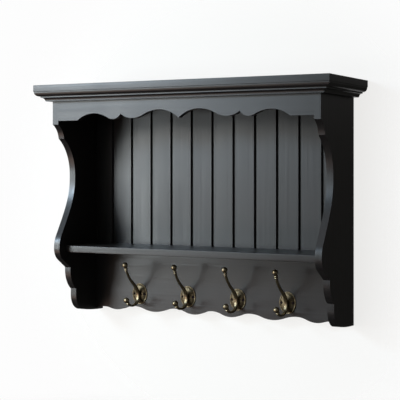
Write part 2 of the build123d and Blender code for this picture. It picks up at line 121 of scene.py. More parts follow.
# %% [markdown]
# Bristles leave lines about 1.5 mm apart. The late wood is some 3 mm apart on the real boards and is drawn at
# 7 mm, because finer streaks would vanish in a picture of the whole shelf. The swell of the coat and the late
# wood are added up, and the sum says how glossy or dull each place is. The boards of the lining also differ
# from each other a little in sheen, since each one soaks up the paint in its own way.

# %% Satin black paint, brushed on along the grain
paint_between_streaks = "13100f"
paint_over_late_wood = "1d1918"
brush_line_spacing = 1.5
brush_line_length = 400
brush_line_depth = 0.03
late_wood_spacing = 7
late_wood_length = 450
late_wood_depth = 0.3
orange_peel_size = 3.0
orange_peel_depth = 0.02
coat_swell = 90
coat_share = 0.5
glossiest = 0.31
glossiest_at = 0.42
dullest = 0.45
dullest_at = 1.08
own_sheen_spread = 0.12


def brushed_black_paint(name, grain, board_width=None):
    """Paint brushed along the axis named by grain. With a board_width, each board gets a sheen of its own."""
    material, tree = new_finish(name)
    place = add_node(tree, "ShaderNodeTexCoord").outputs["Object"]
    lines = stretched_noise(tree, place, grain, brush_line_spacing, brush_line_length, 2.0)
    late_wood = stretched_noise(tree, place, grain, late_wood_spacing, late_wood_length, 3.0)
    coat = add_node(tree, "ShaderNodeTexNoise", {
        "Vector": place, "Scale": 1 / mm(coat_swell), "Detail": 2.0, "Roughness": 0.5})
    orange_peel = add_node(tree, "ShaderNodeTexNoise", {
        "Vector": place, "Scale": 1 / mm(orange_peel_size), "Detail": 1.0})
    tint = add_node(tree, "ShaderNodeMix", {
        "Factor": late_wood, "A": hex_colour(paint_between_streaks), "B": hex_colour(paint_over_late_wood)},
        data_type="RGBA")
    streaks_and_coat = add_node(tree, "ShaderNodeMath", {
        0: coat.outputs["Fac"], 1: coat_share, 2: late_wood}, operation="MULTIPLY_ADD")
    sheen = streaks_and_coat
    if board_width:
        across = add_node(tree, "ShaderNodeSeparateXYZ", {"Vector": place})
        board_start = add_node(tree, "ShaderNodeMath", {
            0: across.outputs["X"], 1: mm(board_width)}, operation="SNAP")
        drawn = add_node(tree, "ShaderNodeTexWhiteNoise", {
            "W": board_start.outputs[0]}, noise_dimensions="1D")
        own_sheen = add_node(tree, "ShaderNodeMapRange", {
            "Value": drawn.outputs["Value"], "To Min": -own_sheen_spread, "To Max": own_sheen_spread})
        sheen = add_node(tree, "ShaderNodeMath", {
            0: own_sheen.outputs[0], 1: streaks_and_coat.outputs[0]}, operation="ADD")
    roughness = add_node(tree, "ShaderNodeMapRange", {
        "Value": sheen.outputs[0], "From Min": glossiest_at, "From Max": dullest_at,
        "To Min": glossiest, "To Max": dullest})
    peel = add_node(tree, "ShaderNodeBump", {
        "Height": orange_peel.outputs["Fac"], "Strength": 0.3, "Distance": mm(orange_peel_depth)})
    proud = add_node(tree, "ShaderNodeBump", {
        "Height": late_wood, "Normal": peel.outputs[0], "Strength": 0.7, "Distance": mm(late_wood_depth)})
    brushed = add_node(tree, "ShaderNodeBump", {
        "Height": lines, "Normal": proud.outputs[0], "Strength": 0.5, "Distance": mm(brush_line_depth)})
    paint = add_node(tree, "ShaderNodeBsdfPrincipled", {
        "Base Color": tint.outputs["Result"], "Roughness": roughness.outputs[0], "IOR": 1.5,
        "Normal": brushed.outputs[0]})
    use_surface(tree, paint)
    return material


# %% [markdown]
# The brush follows each board, so the paint is mixed once for each direction in which the boards run. The
# boards of the lining are 63.9 mm from joint to joint, and their paint changes its sheen at that pitch.

# %% Four black paints
lining_pitch = 63.9
paint_upright = brushed_black_paint("satin_black_paint_upright", "Z")
paint_level = brushed_black_paint("satin_black_paint_level", "X")
paint_returning = brushed_black_paint("satin_black_paint_returning", "Y")
paint_boards = brushed_black_paint("satin_black_paint_boards", "Z", lining_pitch)
print("paints", paint_upright.name, paint_level.name, paint_returning.name, paint_boards.name)

# %% [markdown]
# The battens, blocks and dowels behind the shelf were never painted. The face of a planed pine board shows
# pale early wood and darker late wood in bands some 20 mm apart that wander along the board, which a wave
# texture gives once noise bends it, and fine fibres on top. It all runs along X, as the battens do. A wave
# texture of scale 1 has a band every 2 pi / 20 metres, which is where the 20 in its scale comes from.

# %% Planed bare pine
band_spacing = 20.1
band_stretch = 0.06
wander_size = 60
wander_reach = 14
fibres_per_metre_along = 12
fibres_per_metre_across = 700
fibre_depth = 0.1


def planed_pine(name):
    material, tree = new_finish(name)
    place = add_node(tree, "ShaderNodeTexCoord").outputs["Object"]
    along_board = add_node(tree, "ShaderNodeMapping", {"Vector": place, "Scale": (band_stretch, 1.0, 1.0)})
    wander = add_node(tree, "ShaderNodeTexNoise", {
        "Vector": along_board.outputs[0], "Scale": 1 / mm(wander_size), "Detail": 2.0})
    bent = add_node(tree, "ShaderNodeVectorMath", {
        0: wander.outputs["Color"], 1: (mm(wander_reach), mm(wander_reach), mm(wander_reach))},
        operation="MULTIPLY")
    rings_at = add_node(tree, "ShaderNodeVectorMath", {
        0: along_board.outputs[0], 1: bent.outputs[0]}, operation="ADD")
    rings = add_node(tree, "ShaderNodeTexWave", {
        "Vector": rings_at.outputs[0], "Scale": 2 * pi / mm(band_spacing) / 20, "Distortion": 1.5,
        "Detail": 2.0}, wave_type="BANDS", bands_direction="Z", wave_profile="SAW")
    fibres_at = add_node(tree, "ShaderNodeMapping", {
        "Vector": place, "Scale": (fibres_per_metre_along, fibres_per_metre_across, fibres_per_metre_across)})
    fibres = add_node(tree, "ShaderNodeTexNoise", {
        "Vector": fibres_at.outputs[0], "Scale": 1.0, "Detail": 4.0})
    bands = add_node(tree, "ShaderNodeMix", {
        "Factor": rings.outputs["Fac"], "A": hex_colour("d9b98a"), "B": hex_colour("b98d58")},
        data_type="RGBA")
    wood = add_node(tree, "ShaderNodeMix", {
        "Factor": fibres.outputs["Fac"], "A": bands.outputs["Result"], "B": hex_colour("c9a470")},
        data_type="RGBA")
    grain = add_node(tree, "ShaderNodeBump", {
        "Height": fibres.outputs["Fac"], "Strength": 0.4, "Distance": mm(fibre_depth)})
    pine = add_node(tree, "ShaderNodeBsdfPrincipled", {
        "Base Color": wood.outputs["Result"], "Roughness": 0.62, "Normal": grain.outputs[0]})
    use_surface(tree, pine)
    return material


bare_pine = planed_pine("planed_bare_pine")
print("bare wood", bare_pine.name)

# %% [markdown]
# The hooks are cast and pressed brass, darkened in a bath and then rubbed back by hand. What is left is a
# brown patina in the hollows and warm bare brass on the parts that a cloth reaches. Blender's Pointiness
# tells hollows from high places on a fine mesh. Noise with blotches some 5 mm wide is added to it, because
# such a patina never takes evenly, and the sum picks the colour. A metal's colour is its base colour with
# Metallic at 1. The skin of a sand casting is pitted, and its pits are drawn some 1.6 mm apart, coarse enough
# to show. The backplates are pressed from sheet: they are duller, and the cloth reaches less of them.

# %% Antique brass, darkened and rubbed back
patina_blotch = 5
casting_pit = 1.6
casting_pit_depth = 0.16
hollow_pointiness = 0.44
high_pointiness = 0.59
face_position = 0.42


def rubbed_brass(name, hollow, face, rubbed, rough_face, rough_hollow, blotch):
    material, tree = new_finish(name)
    place = add_node(tree, "ShaderNodeTexCoord").outputs["Object"]
    relief = add_node(tree, "ShaderNodeNewGeometry").outputs["Pointiness"]
    cloud = add_node(tree, "ShaderNodeTexNoise", {
        "Vector": place, "Scale": 1 / mm(patina_blotch), "Detail": 4.0})
    cast_skin = add_node(tree, "ShaderNodeTexNoise", {
        "Vector": place, "Scale": 1 / mm(casting_pit), "Detail": 3.0})
    uneven = add_node(tree, "ShaderNodeMath", {
        0: cloud.outputs["Fac"], 1: blotch, 2: relief}, operation="MULTIPLY_ADD")
    height = add_node(tree, "ShaderNodeMapRange", {
        "Value": uneven.outputs[0], "From Min": hollow_pointiness + blotch / 2,
        "From Max": high_pointiness + blotch / 2})
    tones = add_node(tree, "ShaderNodeValToRGB", {"Fac": height.outputs[0]})
    ramp = tones.color_ramp
    ramp.elements[0].position = 0.0
    ramp.elements[0].color = hex_colour(hollow)
    ramp.elements[1].position = 1.0
    ramp.elements[1].color = hex_colour(rubbed)
    middle = ramp.elements.new(face_position)
    middle.color = hex_colour(face)
    roughness = add_node(tree, "ShaderNodeMapRange", {
        "Value": height.outputs[0], "To Min": rough_hollow, "To Max": rough_face})
    pitted = add_node(tree, "ShaderNodeBump", {
        "Height": cast_skin.outputs["Fac"], "Strength": 0.5, "Distance": mm(casting_pit_depth)})
    brass = add_node(tree, "ShaderNodeBsdfPrincipled", {
        "Base Color": tones.outputs["Color"], "Metallic": 1.0, "Roughness": roughness.outputs[0],
        "Normal": pitted.outputs[0]})
    use_surface(tree, brass)
    return material


arm_brass = rubbed_brass(
    "antique_brass_cast_arm", hollow="241d14", face="8d7e63", rubbed="e6d8b8", rough_face=0.3,
    rough_hollow=0.5, blotch=0.14)
plate_brass = rubbed_brass(
    "antique_brass_pressed_plate", hollow="241e15", face="6c5f49", rubbed="9a8d75", rough_face=0.46,
    rough_hollow=0.6, blotch=0.22)
print("brass", arm_brass.name, plate_brass.name)

# %% [markdown]
# Two more metals are small. The hook screws are steel in a dark bronzed finish, almost black with a purple
# cast. The hangers, pins and wall screws at the back are steel with a zinc plating, which is pale and
# slightly cloudy.

# %% Bronzed and zinc plated steel
sheen_change = 0.08
plating_grain = 0.5
plating_depth = 0.03


def plated_steel(name, dark, pale, roughness, cloud_size):
    material, tree = new_finish(name)
    place = add_node(tree, "ShaderNodeTexCoord").outputs["Object"]
    cloud = add_node(tree, "ShaderNodeTexNoise", {
        "Vector": place, "Scale": 1 / mm(cloud_size), "Detail": 3.0})
    tint = add_node(tree, "ShaderNodeMix", {
        "Factor": cloud.outputs["Fac"], "A": hex_colour(dark), "B": hex_colour(pale)}, data_type="RGBA")
    worn = add_node(tree, "ShaderNodeMapRange", {
        "Value": cloud.outputs["Fac"], "To Min": roughness - sheen_change,
        "To Max": roughness + sheen_change})
    fine = add_node(tree, "ShaderNodeTexNoise", {
        "Vector": place, "Scale": 1 / mm(plating_grain), "Detail": 2.0})
    skin = add_node(tree, "ShaderNodeBump", {
        "Height": fine.outputs["Fac"], "Strength": 0.2, "Distance": mm(plating_depth)})
    steel = add_node(tree, "ShaderNodeBsdfPrincipled", {
        "Base Color": tint.outputs["Result"], "Metallic": 1.0, "Roughness": worn.outputs[0],
        "Normal": skin.outputs[0]})
    use_surface(tree, steel)
    return material


bronzed_steel = plated_steel(
    "bronzed_steel_screws", dark="1b1517", pale="33282b", roughness=0.38, cloud_size=4)
zinc_steel = plated_steel(
    "zinc_plated_steel", dark="9a9a96", pale="c4c3bd", roughness=0.34, cloud_size=6)
print("steels", bronzed_steel.name, zinc_steel.name)

# %% [markdown]
# A board never leaves the bench with knife-sharp edges: sandpaper takes them off, and the paint rounds them
# more. That thin round is what catches a line of light along every edge of a dark piece. The CAD boards
# are loose triangles with stored normals, so each is copied, merged, and freed of those normals and of the
# lines that cross its flat faces. A Bevel modifier then rounds what is sharp. A second helper makes the
# result plain mesh, gives it its finish and puts it in the place of the CAD node.

# %% A clean copy of a CAD node, and its place
weld_distance = 0.002
flat_within = 0.5


def merged_copy(node):
    mesh = bpy.data.meshes.new(node)
    solid = bmesh.new()
    solid.from_mesh(frame["nodes"][node].data)
    bmesh.ops.remove_doubles(solid, verts=solid.verts, dist=mm(weld_distance))
    bmesh.ops.dissolve_limit(
        solid, angle_limit=radians(flat_within), verts=solid.verts, edges=solid.edges)
    solid.to_mesh(mesh)
    solid.free()
    for layer in ("custom_normal", "sharp_face", "sharp_edge"):
        if layer in mesh.attributes:
            mesh.attributes.remove(mesh.attributes[layer])
    return mesh


def settle(piece, material, slot_name, *nodes):
    """Turns a piece's modifiers into plain mesh, gives it one finish and puts it in place of CAD nodes."""
    bpy.context.view_layer.update()
    done = bpy.data.meshes.new_from_object(piece.evaluated_get(bpy.context.evaluated_depsgraph_get()))
    piece.modifiers.clear()
    piece.data = done
    done.materials.clear()
    done.materials.append(material)
    done.polygons.foreach_set("material_index", [0] * len(done.polygons))
    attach(piece, "root")
    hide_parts(*nodes)


# %% [markdown]
# Sides, frieze, shelf, rail and top board are alike in their edges, so one function eases them all. It rounds
# only edges that turn by more than 32 degrees, so the many short flats of a sawn curve stay as they are, and
# two steps are enough for a round of under a millimetre.

# %% Sides, frieze, shelf, rail and top board
easing_steps = 2
sharp_from = 32


def eased_board(node, name, material, easing):
    piece = bpy.data.objects.new(name, merged_copy(node))
    bpy.context.scene.collection.objects.link(piece)
    piece.data.shade_smooth()
    bevel = piece.modifiers.new("eased edges", "BEVEL")
    bevel.width = mm(easing)
    bevel.segments = easing_steps
    bevel.limit_method = "ANGLE"
    bevel.angle_limit = radians(sharp_from)
    bevel.harden_normals = True
    bevel.miter_outer = "MITER_ARC"
    settle(piece, material, "painted_wood", node)
    print(name, "faces", len(piece.data.polygons))


board_easing = 0.9
for node, name, material in (
    ("left_side", "left_scrolled_side", paint_upright),
    ("right_side", "right_scrolled_side", paint_upright),
    ("frieze", "scalloped_frieze", paint_level),
    ("shelf_board", "eased_shelf", paint_level),
    ("hook_rail", "waved_hook_rail", paint_level),
    ("top_board", "eased_top_board", paint_level),
):
    eased_board(node, name, material, board_easing)

# %% [markdown]
# The cornice is machined moulding, so its own lines are crisper: a quarter round, a flat and a cove. Paint
# still fills them a little. Its three lengths are mitred at the corners, and the brush follows each one.

# %% The cornice moulding
moulding_easing = 0.35
eased_board("cornice_front", "moulding_along_front", paint_level, moulding_easing)
eased_board("cornice_left_return", "moulding_left_return", paint_returning, moulding_easing)
eased_board("cornice_right_return", "moulding_right_return", paint_returning, moulding_easing)

# %% [markdown]
# The back is lined with tongued and grooved boards. Their front edges are chamfered and stand a little
# apart, and the tongue lies deep between them, so each joint reads as one black line. One board repeats
# along the back, and the two at the ends are ripped narrower to fit, so it is a task for Geometry Nodes. The
# tree takes the plan of one board as its mesh, rounds the plan's corners as sanding does, raises it to the
# height of the lining, copies it along a line at the pitch of the boards, and saws off what lies past the
# sides with a Boolean.

# %% Plan of one lining board
lining_thickness = 15.0
lining_face = -33.0
chamfer_width = 1.3
chamfer_depth = 2.0
shadow_gap = 5.0
tongue_length = 5.0
tongue_width = 5.0
tongue_set = 6.6
tongue_play = 0.3


def board_plan():
    """Corners of one board's plan, in millimetres from the joint at its left."""
    start = shadow_gap / 2
    end = lining_pitch - shadow_gap / 2
    back = lining_face + lining_thickness
    tongue_front = lining_face + tongue_set
    tongue_back = tongue_front + tongue_width
    return [
        (start + chamfer_width, lining_face),
        (end - chamfer_width, lining_face),
        (end, lining_face + chamfer_depth),
        (end, tongue_front),
        (end + tongue_length, tongue_front),
        (end + tongue_length, tongue_back),
        (end, tongue_back),
        (end, back),
        (start, back),
        (start, tongue_back + tongue_play),
        (start + tongue_length + tongue_play, tongue_back + tongue_play),
        (start + tongue_length + tongue_play, tongue_front - tongue_play),
        (start, tongue_front - tongue_play),
        (start, lining_face + chamfer_depth),
    ]


print("plan corners", len(board_plan()))

# %% [markdown]
# Geometry Nodes trees get the same kind of helper as the shaders. A group's inputs are made first, each with
# a name that says what size it sets, and the modifier's inputs are then set through each socket's
# identifier.

# %% Helpers for the Geometry Nodes trees
def new_tree(name, sizes):
    tree = bpy.data.node_groups.new(name, "GeometryNodeTree")
    tree.interface.new_socket("Geometry", in_out="INPUT", socket_type="NodeSocketGeometry")
    tree.interface.new_socket("Geometry", in_out="OUTPUT", socket_type="NodeSocketGeometry")
    for label, kind in sizes.items():
        tree.interface.new_socket(label, in_out="INPUT", socket_type=f"NodeSocket{kind}")
    start = tree.nodes.new("NodeGroupInput")
    return tree, start.outputs


def finish_tree(tree, geometry, material_socket):
    realized = add_node(tree, "GeometryNodeRealizeInstances", {"Geometry": geometry})
    finished = add_node(tree, "GeometryNodeSetMaterial", {
        "Geometry": realized.outputs[0], "Material": material_socket})
    end = tree.nodes.new("NodeGroupOutput")
    tree.links.new(finished.outputs[0], end.inputs[0])


def run_tree(piece, tree, values):
    modifier = piece.modifiers.new(tree.name, "NODES")
    modifier.node_group = tree
    for item in tree.interface.items_tree:
        if item.item_type == "SOCKET" and item.in_out == "INPUT" and item.name in values:
            modifier[item.identifier] = values[item.name]


# %% [markdown]
# The first half of the tree makes one board. Its plan comes in as a loop of edges, which becomes a curve, so
# that its corners can be rounded. Extruding the filled plan leaves the bottom open, so a copy of the plan,
# turned over, closes it.

# %% One board of the lining
softening_steps = 3
seam = 0.01
lining_tree, lining_inputs = new_tree("boarded_lining", {
    "Boards": "Int", "Pitch": "Float", "Height": "Float", "Foot": "Float", "Softening": "Float",
    "Opening": "Float", "Material": "Material"})
plan_curve = add_node(lining_tree, "GeometryNodeMeshToCurve", {"Mesh": lining_inputs["Geometry"]})
soft_plan = add_node(lining_tree, "GeometryNodeFilletCurve", {
    "Curve": plan_curve.outputs[0], "Radius": lining_inputs["Softening"], "Count": softening_steps,
    "Limit Radius": True}, mode="POLY")
filled = add_node(lining_tree, "GeometryNodeFillCurve", {"Curve": soft_plan.outputs[0]})
raised = add_node(lining_tree, "GeometryNodeExtrudeMesh", {
    "Mesh": filled.outputs[0], "Offset Scale": lining_inputs["Height"], "Individual": False})
foot_turned = add_node(lining_tree, "GeometryNodeFlipFaces", {"Mesh": filled.outputs[0]})
closed = add_node(lining_tree, "GeometryNodeJoinGeometry")
lining_tree.links.new(raised.outputs[0], closed.inputs[0])
lining_tree.links.new(foot_turned.outputs[0], closed.inputs[0])
one_board = add_node(lining_tree, "GeometryNodeMergeByDistance", {
    "Geometry": closed.outputs[0], "Distance": mm(seam)})
print("nodes for one board", len(lining_tree.nodes))

# %% [markdown]
# The second half sets the boards in a row that is centred on the shelf, so the first joint lies half a run to
# the left. The saw is a tall block as wide as the opening between the sides, and the Boolean keeps what lies
# in it.

# %% The row of boards, sawn to fit between the sides
saw_depth = 200
saw_height = 2000
whole_run = add_node(lining_tree, "ShaderNodeMath", {
    0: lining_inputs["Boards"], 1: lining_inputs["Pitch"]}, operation="MULTIPLY")
first_joint = add_node(lining_tree, "ShaderNodeMath", {
    0: whole_run.outputs[0], 1: -0.5}, operation="MULTIPLY")
line_start = add_node(lining_tree, "ShaderNodeCombineXYZ", {
    "X": first_joint.outputs[0], "Z": lining_inputs["Foot"]})
line_step = add_node(lining_tree, "ShaderNodeCombineXYZ", {"X": lining_inputs["Pitch"]})
joints = add_node(lining_tree, "GeometryNodeMeshLine", {
    "Count": lining_inputs["Boards"], "Start Location": line_start.outputs[0],
    "Offset": line_step.outputs[0]}, mode="OFFSET")
boards = add_node(lining_tree, "GeometryNodeInstanceOnPoints", {
    "Points": joints.outputs[0], "Instance": one_board.outputs[0]})
saw_size = add_node(lining_tree, "ShaderNodeCombineXYZ", {
    "X": lining_inputs["Opening"], "Y": mm(saw_depth), "Z": mm(saw_height)})
between_sides = add_node(lining_tree, "GeometryNodeMeshCube", {"Size": saw_size.outputs[0]})
all_boards = add_node(lining_tree, "GeometryNodeRealizeInstances", {"Geometry": boards.outputs[0]})
sawn = add_node(lining_tree, "GeometryNodeMeshBoolean", {
    "Mesh 2": between_sides.outputs[0]}, operation="INTERSECT", solver="EXACT")
lining_tree.links.new(all_boards.outputs[0], sawn.inputs["Mesh 2"])
smooth_boards = add_node(lining_tree, "GeometryNodeSetShadeSmooth", {"Geometry": sawn.outputs[0]})
finish_tree(lining_tree, smooth_boards.outputs[0], lining_inputs["Material"])
print("nodes for the whole lining", len(lining_tree.nodes))

# %% [markdown]
# The tree now runs on the real sizes. The boxes of the first and the last CAD board say where the lining
# stands, how high it is and how wide. Weighted normals then keep the broad faces flat beside their rounds.

# %% Line the back
plan_softening = 0.3
board_nodes = sorted(node for node in frame["nodes"] if node.startswith("back_board"))
low_corner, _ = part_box(board_nodes[0])
_, high_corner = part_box(board_nodes[-1])
plan_mesh = bpy.data.meshes.new("lining_plan")
corners = [(mm(x), mm(y), 0.0) for x, y in board_plan()]
plan_mesh.from_pydata(corners, [(i, (i + 1) % len(corners)) for i in range(len(corners))], [])
lining = bpy.data.objects.new("boarded_lining", plan_mesh)
bpy.context.scene.collection.objects.link(lining)
run_tree(lining, lining_tree, {
    "Boards": len(board_nodes), "Pitch": mm(lining_pitch), "Height": high_corner.z - low_corner.z,
    "Foot": low_corner.z, "Softening": mm(plan_softening), "Opening": high_corner.x - low_corner.x,
    "Material": paint_boards})
true_faces = lining.modifiers.new("true faces", "WEIGHTED_NORMAL")
true_faces.weight = 100
settle(lining, paint_boards, "painted_wood", *board_nodes)
print("lining boards", len(board_nodes), "faces", len(lining.data.polygons), "size", list(lining.dimensions))

# %% [markdown]
# Each hook has a cast arm: a bar that swells at its root, a ball on each prong and rings turned below the
# balls. A sand mould can't hold knife edges, so where the ball, the rings and the bar meet, the metal runs
# together. A voxel remesh does the same: it wraps the CAD arm in one even skin, and a few rounds of
# smoothing let the corners flow. The even mesh also gives Pointiness the fine detail that it reads. The
# pressed plate behind each arm is thinner and crisper, so it gets a finer skin and is smoothed less.

# %% Arms and backplates of the hooks
arm_skin = 0.6
arm_rounds = 3
plate_skin = 0.45
plate_rounds = 2


def flowed_metal(node, name, material, skin_grain, rounds):
    piece = bpy.data.objects.new(name, merged_copy(node))
    bpy.context.scene.collection.objects.link(piece)
    skin = piece.modifiers.new("even skin", "REMESH")
    skin.mode = "VOXEL"
    skin.voxel_size = mm(skin_grain)
    flow = piece.modifiers.new("flow of the metal", "SMOOTH")
    flow.factor = 0.5
    flow.iterations = rounds
    settle(piece, material, "antique_brass", node)
    piece.data.shade_smooth()
    print(name, "faces", len(piece.data.polygons))


for number in range(1, 5):
    flowed_metal(f"hook_{number}_arm", f"double_hook_{number}_cast_arm", arm_brass, arm_skin, arm_rounds)
    flowed_metal(f"hook_{number}_backplate", f"double_hook_{number}_oval_plate", plate_brass, plate_skin,
                 plate_rounds)

# %% [markdown]
# Eight screws hold the hooks. They are alike but for the turn of their slots, because nobody lines those up
# by hand. The tree makes one round head from a ball and a disc, cuts the slot with a Boolean, sets a copy
# on each point it is given, and turns each copy by a random angle from a fixed seed.

# %% The crown of a round head
screw_tree, screw_inputs = new_tree("slotted_round_heads", {
    "Head Radius": "Float", "Crown": "Float", "Ball Radius": "Float", "Slot Width": "Float",
    "Slot Depth": "Float", "Seed": "Int", "Material": "Material"})
disc = add_node(screw_tree, "GeometryNodeMeshCylinder", {
    "Vertices": 48, "Radius": screw_inputs["Head Radius"], "Depth": screw_inputs["Crown"]})
half_crown = add_node(screw_tree, "ShaderNodeMath", {
    0: screw_inputs["Crown"], 1: 0.5}, operation="MULTIPLY")
disc_up = add_node(screw_tree, "ShaderNodeCombineXYZ", {"Z": half_crown.outputs[0]})
disc_placed = add_node(screw_tree, "GeometryNodeTransform", {
    "Geometry": disc.outputs["Mesh"], "Translation": disc_up.outputs[0]})
ball = add_node(screw_tree, "GeometryNodeMeshUVSphere", {
    "Segments": 64, "Rings": 48, "Radius": screw_inputs["Ball Radius"]})
ball_height = add_node(screw_tree, "ShaderNodeMath", {
    0: screw_inputs["Crown"], 1: screw_inputs["Ball Radius"]}, operation="SUBTRACT")
ball_down = add_node(screw_tree, "ShaderNodeCombineXYZ", {"Z": ball_height.outputs[0]})
ball_placed = add_node(screw_tree, "GeometryNodeTransform", {
    "Geometry": ball.outputs["Mesh"], "Translation": ball_down.outputs[0]})
domed = add_node(screw_tree, "GeometryNodeMeshBoolean", {
    "Mesh 2": disc_placed.outputs[0]}, operation="INTERSECT", solver="EXACT")
screw_tree.links.new(ball_placed.outputs[0], domed.inputs["Mesh 2"])
print("nodes for a crown", len(screw_tree.nodes))

# %% [markdown]
# The slot is cut by a blade that is longer than the head is wide. Its middle lies at the top of the crown, so
# it is made twice as high as the slot is deep. The heads face forward, which is a quarter turn about X, and
# the random turn about Y comes on top.

# %% The slot, and one head on each point
across_head = add_node(screw_tree, "ShaderNodeMath", {
    0: screw_inputs["Head Radius"], 1: 3.0}, operation="MULTIPLY")
slot_height = add_node(screw_tree, "ShaderNodeMath", {
    0: screw_inputs["Slot Depth"], 1: 2.0}, operation="MULTIPLY")
blade_size = add_node(screw_tree, "ShaderNodeCombineXYZ", {
    "X": across_head.outputs[0], "Y": screw_inputs["Slot Width"], "Z": slot_height.outputs[0]})
blade = add_node(screw_tree, "GeometryNodeMeshCube", {"Size": blade_size.outputs[0]})
blade_up = add_node(screw_tree, "ShaderNodeCombineXYZ", {"Z": screw_inputs["Crown"]})
blade_placed = add_node(screw_tree, "GeometryNodeTransform", {
    "Geometry": blade.outputs["Mesh"], "Translation": blade_up.outputs[0]})
slotted = add_node(screw_tree, "GeometryNodeMeshBoolean", {
    "Mesh 1": domed.outputs[0], "Mesh 2": blade_placed.outputs[0]}, operation="DIFFERENCE", solver="EXACT")
turn = add_node(screw_tree, "FunctionNodeRandomValue", {
    "Max": pi, "Seed": screw_inputs["Seed"]}, data_type="FLOAT")
own_turn = [socket for socket in turn.outputs if socket.enabled][0]
facing = add_node(screw_tree, "ShaderNodeCombineXYZ", {"X": pi / 2, "Y": own_turn})
heads = add_node(screw_tree, "GeometryNodeInstanceOnPoints", {
    "Points": screw_inputs["Geometry"], "Instance": slotted.outputs[0], "Rotation": facing.outputs[0]})
finish_tree(screw_tree, heads.outputs[0], screw_inputs["Material"])
print("nodes for all the screws", len(screw_tree.nodes))

# %% [markdown]
# Each screw sits where its CAD node has it, in the face of the backplate. The edge of the slot stays sharp in
# the shading, and the crown is smooth.

# %% Screws for the hooks
screw_nodes = sorted(node for node in frame["nodes"] if node.startswith("hook_") and "_screw_" in node)
head_radius = 3.4
head_crown = 2.6
crown_ball_radius = 4.1
slot_width = 0.9
slot_depth = 1.1
turn_seed = 7
slot_edge = 35
seat_depth = -38.6
seats = []
for node in screw_nodes:
    low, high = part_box(node)
    seats.append(((low.x + high.x) / 2, mm(seat_depth), (low.z + high.z) / 2))
seat_mesh = bpy.data.meshes.new("screw_seats")
seat_mesh.from_pydata(seats, [], [])
screws = bpy.data.objects.new("hook_screws", seat_mesh)
bpy.context.scene.collection.objects.link(screws)
run_tree(screws, screw_tree, {
    "Head Radius": mm(head_radius), "Crown": mm(head_crown), "Ball Radius": mm(crown_ball_radius),
    "Slot Width": mm(slot_width), "Slot Depth": mm(slot_depth), "Seed": turn_seed,
    "Material": bronzed_steel})
settle(screws, bronzed_steel, "bronzed_steel", *screw_nodes)
screws.data.shade_smooth()
screws.data.set_sharp_from_angle(angle=radians(slot_edge))
print("hook screws", len(screw_nodes), "faces", len(screws.data.polygons))

# %% [markdown]
# What is left are plain CAD nodes at the back and inside the joints. Their shape is right as it is, so they
# keep their mesh and only get a finish in their material slots.

# %% Finishes for the nodes that stay
kept_finishes = {"raw_wood": bare_pine, "steel": zinc_steel}
slot_of = {item["node"]: item["material_slot"] for item in frame["record"]["subparts"]}
kept = [node for node in frame["nodes"] if not frame["nodes"][node].hide_render]
for node in kept:
    for material_slot in frame["nodes"][node].material_slots:
        material_slot.material = kept_finishes[slot_of[node]]
print("kept nodes", len(kept), sorted(kept)[:6])

# %% [markdown]
# The shelf was photographed against white, from the right and level with its upper half. The camera was
# worked out from the straight edges in the photograph. It looks level, so upright edges stay upright, and
# the lens is shifted down a little instead of being tilted. The Standard view transform shows each colour as
# it was picked.

# %% The camera
camera_data = bpy.data.cameras.new("studio_camera")
camera_data.lens = 103.23
camera_data.sensor_width = 36.0
camera_data.shift_y = -0.0824
camera_data.clip_end = 60
camera = bpy.data.objects.new("studio_camera", camera_data)
camera.location = (1.4412, -2.7836, -0.1784)
camera.rotation_euler = (radians(90), 0, radians(28.28))
bpy.context.scene.collection.objects.link(camera)
bpy.context.scene.camera = camera
bpy.context.scene.view_settings.view_transform = "Standard"
print("camera", list(camera.location))

# %% [markdown]
# Black paint shows the room more than itself, and here it shows a tall window to the left of the camera.
# Three soft boxes stand where the front faces mirror it, one for each pane, and a dim one beside them is its
# curtain, so the fronts brighten from right to left as in the photograph. The highest pane shows the sky, so
# it is cooler and brighter. A warm box lies on the floor for the undersides of the mouldings, a dim card at
# the left fills the sides of the brass arms, a dimmer one behind at the right gives the cornice's end its
# sheen, and a soft box high up behind the wall lights the back. A lamp's power follows from how bright its
# face should look: power = brightness x pi x area.

# %% Soft boxes
def soft_box(name, place, aim, size, brightness, tint):
    data = bpy.data.lights.new(name, "AREA")
    data.shape = "RECTANGLE"
    data.size, data.size_y = size
    data.energy = brightness * pi * size[0] * size[1]
    data.color = tint
    lamp = bpy.data.objects.new(name, data)
    lamp.location = place
    lamp.rotation_euler = (Vector(aim) - Vector(place)).to_track_quat("-Z", "Y").to_euler()
    lamp.visible_camera = False
    bpy.context.scene.collection.objects.link(lamp)


window_x = -2.0
window_y = -2.51
pane_width = 1.04
soft_box("low_pane", place=(window_x, window_y, -0.42), aim=(0, 0, -0.42), size=(pane_width, 0.42),
         brightness=18.3, tint=(0.93, 1.02, 1.04))
soft_box("middle_pane", place=(window_x, window_y, 0.4), aim=(0, 0, 0.4), size=(pane_width, 0.5),
         brightness=15.0, tint=(1.02, 1.01, 0.97))
soft_box("sky_pane", place=(window_x, window_y, 0.95), aim=(0, 0, 0.95), size=(pane_width, 0.6),
         brightness=38, tint=(0.77, 1.0, 1.22))
soft_box("curtain", place=(-0.75, -3.05, 0.45), aim=(0, 0, 0.2), size=(0.9, 1.2),
         brightness=1.3, tint=(0.92, 1.03, 1.04))
soft_box("floor_soft_box", place=(-1.5, -2.1, -1.2), aim=(-1.5, -2.1, 0), size=(1.4, 1.8),
         brightness=2.1, tint=(1.36, 0.94, 0.76))
soft_box("left_card", place=(-3.4, -0.9, 0.0), aim=(0, -0.2, 0.0), size=(2.0, 2.2),
         brightness=0.6, tint=(1.0, 0.98, 0.93))
soft_box("right_high_card", place=(1.9, 2.1, 0.9), aim=(1.9, 0, 0.9), size=(2.6, 1.6),
         brightness=0.08, tint=(1.0, 1.0, 1.0))
